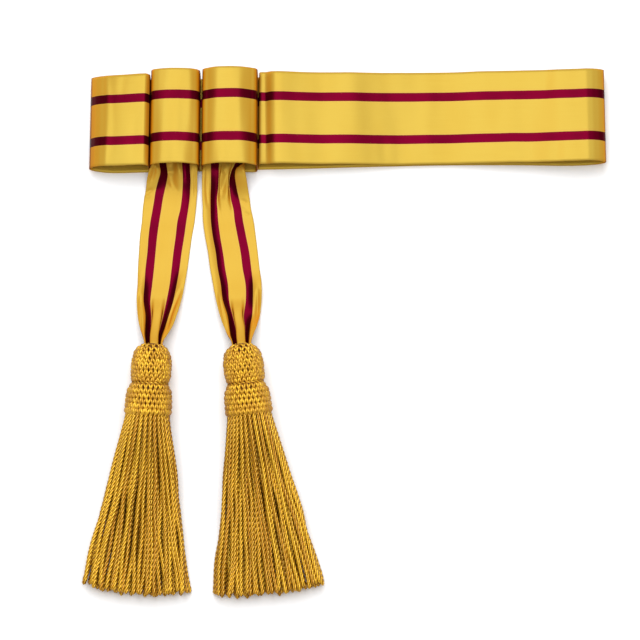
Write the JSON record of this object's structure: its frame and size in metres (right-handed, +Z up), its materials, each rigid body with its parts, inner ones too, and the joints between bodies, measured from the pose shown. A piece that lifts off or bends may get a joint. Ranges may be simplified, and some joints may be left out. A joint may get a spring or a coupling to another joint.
{
  "type": "waist sash",
  "caption": "Striped satin waist sash laid flat: a folded waistband loop, ribbon loops near one end, and gathered tails that end in crocheted tassels with twisted cords.",
  "frame": {"origin": "on the surface that the sash rests on, under the middle of the waistband", "axes": "+X along the waistband towards its right fold, +Y across the waistband away from the tassels, +Z up from the surface"},
  "size_m": [0.4603, 0.4759, 0.0389],
  "materials": {
    "satin_ribbon": "gold satin ribbon with two woven maroon stripes, soft sheen",
    "gold_cord": "crocheted and twisted rayon cord in old gold"
  },
  "bodies": {
    "root": {"waist_band": "satin_ribbon", "loop_left": "satin_ribbon", "loop_right": "satin_ribbon", "tail_left": "satin_ribbon", "tail_right": "satin_ribbon", "tassel_left_knob": "gold_cord", "tassel_left_skirt": "gold_cord", "tassel_right_knob": "gold_cord", "tassel_right_skirt": "gold_cord"}
  },
  "joints": []
}
